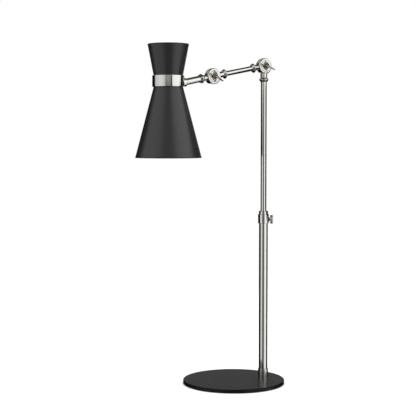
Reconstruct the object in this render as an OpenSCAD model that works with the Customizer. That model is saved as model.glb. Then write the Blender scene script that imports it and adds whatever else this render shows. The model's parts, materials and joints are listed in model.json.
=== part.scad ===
// Adjustable table lamp: a round base, a two-part sliding pole with a screw clamp, a short arm
// between two knuckle joints with wing keys, and an hourglass shade held by a band.
// Millimetres. The origin is the centre of the base's underside and +Z is up. The pole stands
// towards +X, the arm reaches towards -X in the XZ plane, and the wing keys face -Y.

/* [Base] */
// Diameter of the base plate
base_d = 213.6; // [195:1:240]
// Thickness of the base plate
plate_t = 7; // [6.8:0.1:12]
// Thickness of the pad under the plate
pad_t = 1; // [0.8:0.1:2]
// Margin of plate that the pad leaves bare round the rim
pad_margin = 2.5; // [1:0.5:5]
// Bevel round the plate's top edge
plate_bevel = 0.8; // [0.3:0.1:1.5]
// Distance from the pole's axis to the base's rim beside it
pole_inset = 30.2; // [20:0.5:60]
// Clear width of the cord's inlet in the plate's rear rim
inlet_w = 6; // [5:0.5:8]
// Clear height of the cord's inlet, above the pad
inlet_h = 4.6; // [4.2:0.1:4.8]
// Wall of the liner in the inlet
liner_t = 0.8; // [0.6:0.1:1.2]
// Length of the liner
liner_len = 8; // [5:0.5:12]

/* [Pole foot] */
// Diameter of the collar at the pole's foot
foot_d = 21.6; // [21.2:0.1:30]
// Height of that collar
foot_h = 15; // [8:0.5:25]
// Height of the plug in the lower tube's foot
plug_h = 22; // [16:1:40]
// Diameter of the cord's way through the plug and the plate
cord_hole_d = 6; // [5:0.1:6.1]
// Distance from the pole's axis to each screw that holds the plug
foot_screw_at = 5.7; // [5.6:0.1:6]
// Diameter of those screws
foot_screw_d = 3; // [2.5:0.1:3.2]
// Length of those screws under the head
foot_screw_len = 16; // [10:1:20]
// Diameter of those screws' heads
foot_head_d = 5.2; // [4.5:0.1:5.2]
// Height of those screws' heads
foot_head_h = 2.2; // [1.8:0.1:2.6]
// Depth of the recess for each head in the plate's underside
foot_recess = 3; // [2.7:0.1:4]

/* [Pole] */
// Outside diameter of the lower tube
lower_d = 19.05; // [18.6:0.05:20]
// Wall of the lower tube
lower_wall = 1.25; // [0.8:0.05:1.4]
// Length of the lower tube, from the plate's top to the clamp
lower_len = 327; // [320:1:400]
// Outside diameter of the upper tube
upper_d = 12.7; // [11.6:0.1:12.8]
// Wall of the upper tube
upper_wall = 1; // [0.8:0.1:1.5]
// Length of upper tube that shows between the clamp and the ferrule
mast_show = 273.4; // [240:1:320]
// How far the upper tube can be raised from here before its ring meets the clamp
slide_up = 45; // [20:1:60]
// Height of the guide ring at the upper tube's lower end
ring_h = 8; // [5:0.5:15]
// Height of the flange on the upper tube's end plug
end_flange_t = 1.5; // [1:0.1:3]
// Thickness of the retaining ring over the guide ring
clip_t = 1; // [0.8:0.1:1.5]
// Length of the plugs and spigots that go inside a tube
spigot_len = 15; // [10:1:20]

/* [Clamp] */
// Diameter of the clamp collar
clamp_d = 23.3; // [22.6:0.1:28]
// Height of the clamp collar
clamp_h = 20; // [19:0.5:30]
// Diameter of the collar's screwed cap
cap_d = 19.8; // [19:0.1:22]
// Height of the cap above the collar
cap_h = 6.7; // [4:0.1:10]
// Depth of the cap's spigot in the collar
cap_spigot = 4; // [2:0.5:5]
// Length of the collar's own spigot in the lower tube
clamp_spigot = 20; // [12:1:30]
// Wall of the guide bush round the upper tube
bush_t = 1; // [0.8:0.1:1.1]
// Bevel on the clamp's edges
clamp_bevel = 0.3; // [0.3:0.1:1.2]
// Height of the knob's axis above the collar's bottom
knob_rise = 8.4; // [7.5:0.1:10]
// Direction that the knob points in, seen from above
knob_azimuth = -33.3; // [-90:0.1:90]
// Diameter of the clamp knob
knob_d = 19.2; // [15:0.1:24]
// Length of the knob's fluted head
knob_len = 6.2; // [4:0.1:9]
// Number of flutes round the knob
flutes = 12; // [8:1:16]
// Radius of each flute
flute_r = 1.5; // [0.8:0.1:1.6]
// Length of the conical boss that the clamp screw goes through
boss_out = 2.1; // [1:0.1:4]
// Diameter of that boss at the collar
boss_base_d = 12; // [10:0.1:14]
// Diameter of that boss at the knob
boss_tip_d = 6.4; // [6:0.1:8]
// Diameter of the clamp screw
clamp_screw_d = 3.9; // [3:0.1:4.2]
// Gap between the upper tube and the end of the clamp screw, where the shoe lies
shoe_len = 2.6; // [1.5:0.1:3]

/* [Joints] */
// Diameter of the joint discs
disc_d = 33; // [31:0.5:36]
// Thickness of one joint half
half_t = 7; // [6.8:0.1:9]
// Rounding of a joint half's outer rim
rim_round = 2.6; // [1.5:0.1:3.2]
// Thickness of the friction disc between two halves
friction_t = 1; // [0.6:0.1:1.5]
// Diameter of the friction disc
friction_dia = 24; // [18:0.5:28]
// Thickness of the wall between the friction disc and the well
well_floor = 2; // [1.5:0.1:2.5]
// Diameter of the well round the key's stem
well_d = 14; // [13.6:0.1:15]
// Diameter of the ring or cap that is set into a half's outer face
bezel_d = 24; // [20:0.5:26]
// Depth of the seat for that ring or cap
bezel_seat = 1.2; // [0.8:0.1:1.6]
// How far that ring or cap stands out of the face
bezel_out = 0.7; // [0.3:0.1:1.5]
// Diameter of the joint bolt
bolt_d = 6; // [5:0.1:6.4]
// Thickness of the bolt's nut
bolt_nut_t = 3.4; // [2.5:0.1:3.5]
// Width across the flats of the bolt's nut
bolt_nut_af = 10; // [9:0.1:10.5]
// Height of the dished spring washer in the well
spring_h = 1.5; // [1:0.1:2]
// Distance from a joint's centre to the crown of the ferrule beside it
ferrule_at = 29; // [28:0.5:36]
// Length of a ferrule
ferrule_len = 9; // [7:0.5:11]
// Diameter of a ferrule's crown
ferrule_d = 20; // [19:0.1:23]
// Length of a ferrule's flat crown
crown_len = 1.2; // [0.6:0.1:2]
// Diameter of the mast's neck above its ferrule
mast_neck_d = 14.6; // [13.5:0.1:14.8]
// Diameter of the necks at the arm's and the head's joints
arm_neck_d = 12.6; // [12:0.1:14.4]

/* [Wing keys] */
// Length of a wing key from tip to tip
key_span = 31; // [26:0.5:31]
// Height of a wing key from its root to its tips, along the joint's axis
key_w = 12; // [11:0.5:14]
// Diameter of a wing key's rounded tips
key_tip_d = 5.8; // [4.6:0.1:7]
// Depth of the dip between a wing key's tips
key_dip = 2.6; // [1:0.1:3.5]
// Thickness of a wing key
key_t = 2.8; // [2:0.1:4]
// How far the wing stands clear of the joint's face
key_gap = 5.5; // [3:0.1:8]
// Diameter of the key's stem
stem_d = 8.4; // [8:0.1:9]
// Slope of the elbow key, down to the right
elbow_key_slope = 33; // [0:1:90]
// Slope of the tilt key, down to the right
tilt_key_slope = 43; // [0:1:90]

/* [Arm] */
// Distance between the elbow's axis and the tilt joint's axis
arm_len = 132.4; // [120:0.1:180]
// Slope of the arm, down from the elbow
arm_slope = 11; // [0:0.5:20]
// Outside diameter of the arm tube
arm_d = 11; // [10:0.1:12]
// Wall of the arm tube
arm_wall = 1; // [0.8:0.1:1.4]

/* [Head] */
// Slope of the head tube, down from the tilt joint
head_slope = 11.5; // [0:0.5:15]
// Level distance from the tilt joint's axis to the shade's axis
head_reach = 106.8; // [100:0.1:140]
// Outside diameter of the head tube
head_d = 14.2; // [13.2:0.1:14.6]
// Wall of the head tube
head_wall = 1.2; // [0.8:0.1:1.3]
// Length of the boss between the head tube and the band
boss_len = 8; // [6:0.5:14]
// Diameter of the boss where it meets the band
boss_d = 19; // [17:0.5:20]
// Depth of the head tube's seat in the boss
boss_seat = 3; // [2:0.1:4]
// How far below the band's middle the head tube meets it
boss_drop = 2.5; // [1:0.1:3]
// Outside diameter of the threaded nipple through the boss
nipple_d = 9.9; // [9.5:0.1:10.5]
// Wall of that nipple
nipple_wall = 1.5; // [1:0.1:2]
// Diameter of the washer on the nipple, inside the neck
boss_washer_d = 14.4; // [13:0.1:16]
// Thickness of that washer's middle
boss_washer_t = 2.4; // [2:0.1:2.6]
// Width across the flats of the nipple's nut
boss_nut_af = 12; // [11.6:0.1:12.6]
// Thickness of the nipple's nut
boss_nut_t = 2.6; // [2:0.1:2.8]

/* [Shade] */
// Outside diameter of the band
band_d = 64.7; // [64.5:0.1:72]
// Height of the band
band_h = 22.6; // [22.2:0.1:26]
// Wall of the band
band_wall = 2.6; // [2:0.1:3]
// Wall of the two shades
shade_wall = 0.9; // [0.7:0.1:1.2]
// Depth of the stiffening hem inside each rim
hem_w = 0.8; // [0.4:0.1:1.2]
// Height of that hem
hem_h = 1.8; // [1:0.1:3]
// Diameter of the lower shade's mouth
mouth_d = 134.4; // [125:0.5:160]
// Height of the lower shade's cone
lower_cone_h = 142.8; // [138:0.1:170]
// Diameter of the upper shade's mouth
top_d = 83.6; // [76:0.1:100]
// Height of the upper shade's cone
upper_cone_h = 63; // [50:0.5:90]
// Height of the joined flanges above the band's middle
flange_rise = 5.4; // [5:0.1:6]
// Diameter of the hole in the flanges for the lampholder
holder_hole_d = 40; // [39.6:0.1:41]
// Distance from the shade's axis to each screw that joins the flanges
flange_screw_at = 25.4; // [25.2:0.1:25.6]
// Number of those screws
flange_screws_n = 3; // [2:1:4]
// Diameter of those screws
flange_screw_d = 3; // [2.5:0.1:3]
// Diameter of those screws' heads
flange_head_d = 5.6; // [5:0.1:5.8]
// Diameter of the hole in the flanges for the wires
wire_hole_d = 5.6; // [4:0.1:5.8]

/* [Lampholder and bulb] */
// Outside diameter of the lampholder's barrel
barrel_d = 38.8; // [37:0.1:39.2]
// Length of the barrel below the flanges
barrel_len = 38; // [34:0.5:42]
// Diameter of the lampholder's shoulder on the flanges
shoulder_d = 44.6; // [43:0.1:45]
// Height of the lampholder's body above the flanges
holder_top_h = 7; // [6:0.5:10]
// Height of the lampholder's domed cap
holder_cap_h = 19; // [14:0.5:24]
// Wall of the lampholder's body and cap
holder_wall = 2.4; // [2:0.1:3.5]
// Outside diameter of the shade ring on the barrel
shade_ring_d = 43; // [41.5:0.1:43.6]
// Height of the shade ring
shade_ring_h = 3.2; // [2.5:0.1:3.4]
// Inside diameter of the lampholder's screw shell
screw_shell_d = 26.8; // [26.7:0.1:27.4]
// Diameter of the bulb's cap
bulb_cap_d = 26; // [25.8:0.1:26.4]
// Length of the bulb's cap
bulb_cap_len = 25; // [22:0.5:27]
// Diameter of the bulb
bulb_d = 60; // [45:1:66]
// Overall length of the bulb
bulb_len = 125; // [105:1:132]
// Wall of the bulb's glass
glass_t = 1; // [0.6:0.1:1.5]

/* [Clearances] */
// Radial play of a turning or sliding fit
run_fit = 0.06; // [0.03:0.01:0.1]
// Radial gap between pieces that are fixed to each other
seat_gap = 0.05; // [0.02:0.01:0.1]
// Radial gap of a screw in a plain hole
hole_gap = 0.15; // [0.1:0.05:0.3]
// Gap that keeps moving pieces clear of each other
clear = 0.5; // [0.3:0.1:0.8]

/* [Hidden] */
$fn = 96;
eps = 0.01;
past = 5; // how far a cutting shape runs past what it cuts

nickel = [0.78, 0.76, 0.72];
zinc = [0.62, 0.63, 0.65];
brass = [0.72, 0.58, 0.3];
black_paint = [0.13, 0.13, 0.13];
white_paint = [0.93, 0.92, 0.9];
dark_plastic = [0.16, 0.15, 0.14];
pale_plastic = [0.85, 0.84, 0.78];
pad_grey = [0.3, 0.3, 0.31];
frosted = [0.96, 0.96, 0.93];

pole_x = base_d / 2 - pole_inset;

// heights up the pole
plate_top = pad_t + plate_t;
channel_h = inlet_h + liner_t;
foot_seat = pad_t + foot_recess;
foot_top = plate_top + foot_h;
plug_top = plate_top + plug_h;
clamp_z = plate_top + lower_len;
clamp_top = clamp_z + clamp_h;
cap_top = clamp_top + cap_h;
knob_z = clamp_z + knob_rise;
spigot_z = clamp_z - clamp_spigot;
ring_stop = spigot_z - slide_up - clear;
clip_z = ring_stop - clip_t;
ring_z = clip_z - ring_h;
end_z = ring_z - end_flange_t;

// distances from a joint's centre along the neck that leaves it
ferrule_near = ferrule_at - ferrule_len / 2;
ferrule_far = ferrule_at + ferrule_len / 2;
elbow_z = cap_top + mast_show + ferrule_far;
tilt_x = pole_x - arm_len * cos(arm_slope);
tilt_z = elbow_z - arm_len * sin(arm_slope);
shade_x = tilt_x - head_reach;
arm_tube_len = arm_len - 2 * ferrule_near;

// the joint's stack, measured from its middle plane
mating = friction_t / 2;
face = mating + half_t;
floor_at = mating + well_floor;
seat_at = face - bezel_seat;
bezel_top = face + bezel_out;
wing_at = face + key_gap;
bolt_r = bolt_d / 2;
neck_start = bezel_d / 2 + 1; // where a neck begins, outside the ring's seat
disc_clear_r = disc_d / 2 + clear;
bolt_end = floor_at + bolt_nut_t + 0.2;
stem_start = floor_at + spring_h + 0.3;

// inside radii of the tubes
lower_ri = lower_d / 2 - lower_wall;
upper_ri = upper_d / 2 - upper_wall;
arm_ri = arm_d / 2 - arm_wall;
head_ri = head_d / 2 - head_wall;
nipple_r = nipple_d / 2;
bush_ri = upper_d / 2 + run_fit;
bush_ro = bush_ri + bush_t;

// distances along the head tube from the tilt joint's centre
head_cos = cos(head_slope);
band_at = (head_reach - band_d / 2) / head_cos;
head_end = band_at - boss_len + boss_seat;
band_z = tilt_z - (head_reach - band_d / 2) * tan(head_slope) + boss_drop;
neck_r = band_d / 2 - band_wall - hole_gap;
neck_ri = neck_r - shade_wall;
inner_wall_at = (head_reach - neck_ri) / head_cos;
boss_washer_end = inner_wall_at + boss_washer_t;
boss_nut_end = boss_washer_end + boss_nut_t;

// heights round the shade
band_bottom = band_z - band_h / 2;
band_top = band_z + band_h / 2;
flange_z = band_z + flange_rise;
mouth_z = band_bottom - lower_cone_h;
top_z = band_top + upper_cone_h;
lower_slope = (mouth_d / 2 - neck_r) / lower_cone_h;
upper_slope = (top_d / 2 - neck_r) / upper_cone_h;
lower_wall_x = shade_wall * sqrt(1 + lower_slope * lower_slope); // wall measured level
upper_wall_x = shade_wall * sqrt(1 + upper_slope * upper_slope);
barrel_z = flange_z - shade_wall - barrel_len;
holder_z = flange_z + shade_wall;
holder_top = holder_z + holder_top_h;
core_z = flange_z - 8;
bulb_cap_z = core_z - 2 - bulb_cap_len;
bulb_r = bulb_d / 2;
bulb_centre_z = core_z - 2 - bulb_len + bulb_r;
bulb_neck_r = bulb_cap_d / 2 - 0.8;

// ---------- shared shapes ----------

// a ring or disc between two heights
module ring(r_out, r_in, z0, z1) {
    translate([0, 0, z0])
        difference() {
            cylinder(r = r_out, h = z1 - z0);
            if (r_in > 0)
                translate([0, 0, -eps]) cylinder(r = r_in, h = z1 - z0 + 2 * eps);
        }
}

// a ring whose top outer edge is bevelled
module bevelled_ring(r_out, r_in, z0, z1, bevel) {
    rotate_extrude()
        polygon([[r_in, z0], [r_out, z0], [r_out, z1 - bevel], [r_out - bevel, z1], [r_in, z1]]);
}

// a hexagon nut between two heights
module hex_nut(af, r_in, z0, z1) {
    translate([0, 0, z0])
        difference() {
            cylinder(r = af / 2 / cos(30), h = z1 - z0, $fn = 6);
            translate([0, 0, -eps]) cylinder(r = r_in, h = z1 - z0 + 2 * eps);
        }
}

module on_pole() {
    translate([pole_x, 0, 0]) children();
}

module on_shade() {
    translate([shade_x, 0, 0]) children();
}

// turns +Z outwards along the clamp screw, from the pole's axis
module on_clamp_screw() {
    translate([pole_x, 0, knob_z]) rotate([0, 90, knob_azimuth]) children();
}

// places a joint whose neck leaves it along -Z before the turn
module at_elbow(turn = 0) {
    translate([pole_x, 0, elbow_z]) rotate([0, turn, 0]) children();
}

module at_tilt(turn = 0) {
    translate([tilt_x, 0, tilt_z]) rotate([0, turn, 0]) children();
}

arm_turn_at_elbow = 90 - arm_slope;
arm_turn_at_tilt = -90 - arm_slope;
head_turn = 90 - head_slope;

// turns +Z to the front (-Y) or to the rear (+Y) of a joint
module facing(front) {
    rotate([front ? 90 : -90, 0, 0]) children();
}

// ---------- joint pieces ----------

// outline of a joint half: a disc with a rounded rim, a bore, a well and a seat
module half_outline(well) {
    difference() {
        union() {
            translate([0, mating]) square([disc_d / 2, half_t - rim_round]);
            translate([0, mating]) square([disc_d / 2 - rim_round, half_t]);
            translate([disc_d / 2 - rim_round, face - rim_round]) circle(r = rim_round);
        }
        translate([-eps, 0]) square([bolt_r + run_fit + eps, face + past]);
        translate([-eps, seat_at]) square([bezel_d / 2 + seat_gap + eps, past]);
        if (well)
            translate([-eps, floor_at]) square([well_d / 2 + eps, past + half_t]);
    }
}

// a joint half: front halves have a round well, rear halves a pocket for the nut
module joint_half(front, neck_d, tube_ri) {
    difference() {
        union() {
            facing(front) rotate_extrude() half_outline(front);
            translate([0, 0, -ferrule_near])
                difference() {
                    cylinder(d = neck_d, h = ferrule_near - neck_start);
                    translate([0, 0, ferrule_near])
                        facing(!front)
                            translate([0, 0, -mating]) cylinder(r = disc_clear_r, h = disc_d);
                }
            translate([0, 0, -ferrule_near - spigot_len])
                cylinder(r = tube_ri - seat_gap, h = spigot_len + 1);
        }
        if (!front)
            facing(front)
                translate([0, 0, floor_at])
                    cylinder(r = (bolt_nut_af / 2 + seat_gap) / cos(30), h = half_t + past, $fn = 6);
        translate([0, 0, -ferrule_near - spigot_len - eps])
            cylinder(r = tube_ri - 1.8, h = spigot_len + ferrule_near - disc_clear_r - 3);
    }
}

// the bevelled ferrule round the end of a tube beside a joint
module ferrule(tube_d, neck_d) {
    bore = tube_d / 2 + seat_gap;
    lip = max(neck_d / 2, bore) + 0.3;
    rotate_extrude()
        polygon([
            [bore, -ferrule_far], [bore + 0.9, -ferrule_far],
            [ferrule_d / 2, -ferrule_at - crown_len / 2],
            [ferrule_d / 2, -ferrule_at + crown_len / 2],
            [lip, -ferrule_near], [bore, -ferrule_near]
        ]);
}

// the ring set into a front half, round the well
module bezel() {
    edge = 0.7;
    facing(true)
        rotate_extrude()
            polygon([
                [well_d / 2 + 0.2, seat_at + eps], [bezel_d / 2, seat_at + eps],
                [bezel_d / 2, bezel_top - edge], [bezel_d / 2 - edge, bezel_top],
                [well_d / 2 + 1.2, bezel_top], [well_d / 2 + 0.2, face - 0.3]
            ]);
}

// the cap set into a rear half, over the nut
module rear_cap() {
    dome = bezel_out + 1;
    facing(false)
        rotate_extrude()
            polygon([
                [0, seat_at + eps], [bezel_d / 2, seat_at + eps], [bezel_d / 2, bezel_top - 0.4],
                for (i = [0:6]) let (a = 90 * i / 6)
                    [(bezel_d / 2 - 0.6) * cos(a), bezel_top - 0.4 + dome * sin(a)]
            ]);
}

module friction_disc() {
    rotate([90, 0, 0]) ring(friction_dia / 2, bolt_r + run_fit + seat_gap, -mating, mating);
}

// a dished washer between the well's floor and the key's stem
module spring_washer() {
    facing(true)
        rotate_extrude()
            polygon([
                [bolt_r + hole_gap, floor_at + spring_h - 0.7], [well_d / 2 - 0.3, floor_at + eps],
                [well_d / 2 - 0.3, floor_at + 0.7], [bolt_r + hole_gap, floor_at + spring_h]
            ]);
}

module joint_nut() {
    facing(false)
        rotate([0, 0, 0]) hex_nut(bolt_nut_af, bolt_r + run_fit, floor_at, floor_at + bolt_nut_t);
}

// a wing key: a flat two-winged plate on a stem, its plane holding the joint's axis
module wing_key(slope) {
    tip_r = key_tip_d / 2;
    reach = key_span / 2 - tip_r;
    facing(true)
        rotate([0, 0, -slope])
            difference() {
                union() {
                    translate([0, key_t / 2, wing_at])
                        rotate([90, 0, 0])
                            linear_extrude(key_t)
                                union() {
                                    for (side = [-1, 1])
                                        translate([side * reach, key_w - tip_r]) circle(r = tip_r);
                                    polygon([
                                        [-stem_d / 2, 0], [stem_d / 2, 0],
                                        [reach, key_w - key_tip_d], [reach, key_w],
                                        [0, key_w - key_dip],
                                        [-reach, key_w], [-reach, key_w - key_tip_d]
                                    ]);
                                }
                    ring(stem_d / 2, 0, stem_start, wing_at + 3);
                }
                ring(bolt_r + seat_gap, 0, stem_start - past, wing_at);
            }
}

// the bolt that the key turns, from the nut to inside the key's stem
module joint_bolt() {
    facing(true) ring(bolt_r, 0, -bolt_end, wing_at - 0.5);
}

// ---------- base and pole ----------

module base_plate() {
    color(black_paint)
        difference() {
            rotate_extrude()
                polygon([
                    [0, pad_t], [base_d / 2 - 0.4, pad_t], [base_d / 2, pad_t + 0.4],
                    [base_d / 2, plate_top - plate_bevel],
                    [base_d / 2 - plate_bevel, plate_top], [0, plate_top]
                ]);
            on_pole() ring(cord_hole_d / 2, 0, pad_t - past, plate_top + past);
            on_pole()
                translate([-inlet_w / 2 - liner_t - seat_gap, 0, pad_t - past])
                    cube([inlet_w + 2 * (liner_t + seat_gap), base_d, channel_h + past + seat_gap]);
            at_foot_screws() ring(foot_screw_d / 2 + hole_gap, 0, pad_t, plate_top + past);
            at_foot_screws() ring(foot_head_d / 2 + hole_gap, 0, pad_t - past, foot_seat);
        }
}

// the three places of the plug's screws, clear of the cord's channel
module at_foot_screws() {
    for (angle = [200, 270, 340])
        on_pole() rotate([0, 0, angle]) translate([foot_screw_at, 0, 0]) children();
}

module base_pad() {
    color(pad_grey) ring(base_d / 2 - pad_margin, 0, 0, pad_t);
}

rim_y = sqrt(pow(base_d / 2, 2) - pow(pole_x + inlet_w / 2 + liner_t, 2)); // inlet's mouth

module cord_inlet_liner() {
    color(dark_plastic)
        on_pole()
            difference() {
                translate([-inlet_w / 2 - liner_t, rim_y - 0.6 - liner_len, pad_t])
                    cube([inlet_w + 2 * liner_t, liner_len, channel_h]);
                translate([-inlet_w / 2, 0, pad_t - past])
                    cube([inlet_w, base_d, inlet_h + past]);
            }
}

module foot_plug() {
    color(zinc)
        difference() {
            on_pole() ring(lower_ri - seat_gap, cord_hole_d / 2, plate_top, plug_top);
            at_foot_screws()
                ring(foot_screw_d / 2 + seat_gap, 0, plate_top - past, foot_seat + foot_screw_len + 0.5);
        }
}

module foot_screws() {
    color(zinc)
        at_foot_screws()
            union() {
                ring(foot_head_d / 2, 0, foot_seat - foot_head_h, foot_seat);
                ring(foot_screw_d / 2, 0, foot_seat - eps, foot_seat + foot_screw_len);
            }
}

module foot_collar() {
    color(nickel)
        on_pole() bevelled_ring(foot_d / 2, lower_d / 2 + seat_gap, plate_top, foot_top, 0.6);
}

module lower_tube() {
    color(nickel) on_pole() ring(lower_d / 2, lower_ri, plate_top, clamp_z);
}

module clamp_collar() {
    outer = clamp_d / 2;
    color(nickel)
        difference() {
            union() {
                on_pole()
                    rotate_extrude()
                        polygon([
                            [0, spigot_z], [lower_ri - seat_gap, spigot_z],
                            [lower_ri - seat_gap, clamp_z], [outer - clamp_bevel, clamp_z],
                            [outer, clamp_z + clamp_bevel], [outer, clamp_top - 2 * clamp_bevel],
                            [cap_d / 2, clamp_top], [0, clamp_top]
                        ]);
                on_clamp_screw()
                    translate([0, 0, outer - 1])
                        cylinder(d1 = boss_base_d, d2 = boss_tip_d, h = boss_out + 1);
            }
            on_pole() ring(upper_d / 2 + hole_gap, 0, spigot_z - past, clamp_top + past);
            on_pole() ring(bush_ro + seat_gap, 0, clamp_z, clamp_top + past);
            on_pole() ring(cap_d / 2 - 1.6 + seat_gap, 0, clamp_top - cap_spigot, clamp_top + past);
            on_clamp_screw() ring(clamp_screw_d / 2 + seat_gap, 0, upper_d / 2, outer + boss_out + past);
        }
}

module clamp_cap() {
    color(nickel)
        on_pole()
            difference() {
                union() {
                    bevelled_ring(cap_d / 2, 0, clamp_top, cap_top, 0.8);
                    ring(cap_d / 2 - 1.6, 0, clamp_top - cap_spigot, clamp_top + eps);
                }
                ring(upper_d / 2 + hole_gap, 0, 0, cap_top + past);
            }
}

module guide_bush() {
    color(pale_plastic)
        difference() {
            on_pole() ring(bush_ro, bush_ri, clamp_z, clamp_top - cap_spigot);
            on_clamp_screw() ring(clamp_screw_d / 2 + seat_gap, 0, upper_d / 2 - 1, clamp_d);
        }
}

module clamp_shoe() {
    color(pale_plastic)
        difference() {
            on_clamp_screw() ring(clamp_screw_d / 2, 0, 0, upper_d / 2 + run_fit + shoe_len);
            on_pole() ring(bush_ri, 0, clamp_z - past, clamp_top + past);
        }
}

knob_at = clamp_d / 2 + boss_out + 0.3;

module clamp_knob() {
    color(nickel)
        on_clamp_screw()
            difference() {
                rotate_extrude()
                    polygon([
                        [0, knob_at], [boss_tip_d / 2 + 0.8, knob_at], [knob_d / 2 - 0.8, knob_at + 0.3],
                        [knob_d / 2, knob_at + 1.1], [knob_d / 2, knob_at + knob_len - 0.8],
                        [knob_d / 2 - 0.8, knob_at + knob_len], [0, knob_at + knob_len]
                    ]);
                for (i = [0:flutes - 1])
                    rotate([0, 0, 360 * i / flutes])
                        translate([knob_d / 2 + flute_r / 3, 0, knob_at - past])
                            cylinder(r = flute_r, h = knob_len + 2 * past);
                ring(clamp_screw_d / 2 + seat_gap, 0, knob_at - past, knob_at + knob_len - 1.6);
            }
}

module clamp_screw() {
    color(zinc)
        on_clamp_screw()
            ring(clamp_screw_d / 2, 0, upper_d / 2 + run_fit + shoe_len + 0.1, knob_at + knob_len - 2);
}

module guide_ring() {
    color(pale_plastic)
        on_pole() ring(lower_ri - run_fit, upper_d / 2 + run_fit, ring_z + eps, clip_z - eps);
}

// ---------- mast ----------

module upper_tube() {
    color(nickel) on_pole() ring(upper_d / 2, upper_ri, ring_z, elbow_z - ferrule_near);
}

module end_plug() {
    color(zinc)
        on_pole()
            difference() {
                union() {
                    ring(lower_ri - 0.6, 0, end_z, ring_z);
                    ring(upper_ri - seat_gap, 0, ring_z - eps, ring_z + spigot_len);
                }
                ring(upper_ri - 1.8, 0, end_z - past, ring_z + spigot_len + past);
            }
}

module retaining_ring() {
    color(zinc) on_pole() ring(lower_ri - 0.6, upper_d / 2 + seat_gap, clip_z, ring_stop);
}

module mast_ferrule() {
    color(nickel) at_elbow() ferrule(upper_d, mast_neck_d);
}

module mast_joint_half() {
    color(nickel) at_elbow() joint_half(true, mast_neck_d, upper_ri);
}

module elbow_bezel() {
    color(nickel) at_elbow() bezel();
}

module elbow_spring_washer() {
    color(brass) at_elbow() spring_washer();
}

module elbow_friction_disc() {
    color(dark_plastic) at_elbow() friction_disc();
}

module elbow_key() {
    color(nickel) at_elbow() wing_key(elbow_key_slope);
}

module elbow_bolt() {
    color(brass) at_elbow() joint_bolt();
}

// ---------- arm ----------

module arm_rear_half() {
    color(nickel) at_elbow(arm_turn_at_elbow) joint_half(false, arm_neck_d, arm_ri);
}

module elbow_nut() {
    color(zinc) at_elbow(arm_turn_at_elbow) joint_nut();
}

module elbow_rear_cap() {
    color(nickel) at_elbow() rear_cap();
}

module arm_upper_ferrule() {
    color(nickel) at_elbow(arm_turn_at_elbow) ferrule(arm_d, arm_neck_d);
}

module arm_tube() {
    color(nickel)
        at_elbow(arm_turn_at_elbow)
            ring(arm_d / 2, arm_ri, -ferrule_near - arm_tube_len, -ferrule_near);
}

module arm_lower_ferrule() {
    color(nickel) at_tilt(arm_turn_at_tilt) ferrule(arm_d, arm_neck_d);
}

module arm_front_half() {
    color(nickel) at_tilt(arm_turn_at_tilt) joint_half(true, arm_neck_d, arm_ri);
}

module tilt_bezel() {
    color(nickel) at_tilt() bezel();
}

module tilt_spring_washer() {
    color(brass) at_tilt() spring_washer();
}

module tilt_friction_disc() {
    color(dark_plastic) at_tilt() friction_disc();
}

module tilt_key() {
    color(nickel) at_tilt() wing_key(tilt_key_slope);
}

module tilt_bolt() {
    color(brass) at_tilt() joint_bolt();
}

// ---------- head ----------

module head_joint_half() {
    color(nickel) at_tilt(head_turn) joint_half(false, arm_neck_d, head_ri);
}

module tilt_nut() {
    color(zinc) at_tilt(head_turn) joint_nut();
}

module tilt_rear_cap() {
    color(nickel) at_tilt() rear_cap();
}

module head_ferrule() {
    color(nickel) at_tilt(head_turn) ferrule(head_d, arm_neck_d);
}

module head_tube() {
    color(nickel) at_tilt(head_turn) ring(head_d / 2, head_ri, -head_end, -ferrule_near);
}

// the domed boss, hollowed to the band's curve
module band_boss() {
    start = head_end - boss_seat;
    dome_r = boss_d / 2 - head_d / 2 - 0.6;
    color(nickel)
        difference() {
            at_tilt(head_turn)
                difference() {
                    rotate_extrude()
                        union() {
                            translate([0, -band_at - 4]) square([boss_d / 2 - dome_r, band_at + 4 - start]);
                            translate([0, -band_at - 4])
                                square([boss_d / 2, band_at + 4 - start - dome_r]);
                            translate([boss_d / 2 - dome_r, -start - dome_r]) circle(r = dome_r);
                        }
                    ring(head_d / 2 + seat_gap, 0, -head_end, -start + past);
                    ring(nipple_r + seat_gap, 0, -band_at - 2 * past, -start + past);
                }
            on_shade() ring(band_d / 2, 0, band_bottom - past, band_top + past);
        }
}

module boss_nipple() {
    color(zinc)
        at_tilt(head_turn)
            ring(nipple_r, nipple_r - nipple_wall, -boss_nut_end - 0.4, -head_end);
}

// the washer's outer face follows the neck's inside, its inner face is square to the nipple
module boss_washer() {
    color(zinc)
        intersection() {
            at_tilt(head_turn) ring(boss_washer_d / 2, nipple_r + seat_gap, -boss_washer_end, -band_at);
            on_shade() ring(neck_ri - seat_gap, 0, band_bottom, band_top);
        }
}

module boss_nut() {
    color(zinc)
        at_tilt(head_turn) hex_nut(boss_nut_af, nipple_r + seat_gap, -boss_nut_end, -boss_washer_end);
}

// the way for the nipple through the band and the lower shade's neck
module nipple_way() {
    at_tilt(head_turn) ring(nipple_r + hole_gap, 0, -boss_nut_end - past, -band_at + past);
}

module shade_band() {
    color(nickel)
        difference() {
            on_shade() ring(band_d / 2, band_d / 2 - band_wall, band_bottom, band_top);
            nipple_way();
        }
}

// the places of the screws that join the two flanges
module at_flange_screws() {
    for (i = [0:flange_screws_n - 1])
        on_shade()
            rotate([0, 0, (i + 0.5) * 360 / flange_screws_n])
                translate([flange_screw_at, 0, 0]) children();
}

// holes through the flanges for the joining screws and for the wires
module flange_holes() {
    at_flange_screws() ring(flange_screw_d / 2 + seat_gap, 0, flange_z - past, flange_z + past);
    on_shade()
        rotate([0, 0, 20])
            translate([flange_screw_at, 0, 0]) ring(wire_hole_d / 2, 0, flange_z - past, flange_z + past);
}

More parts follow.
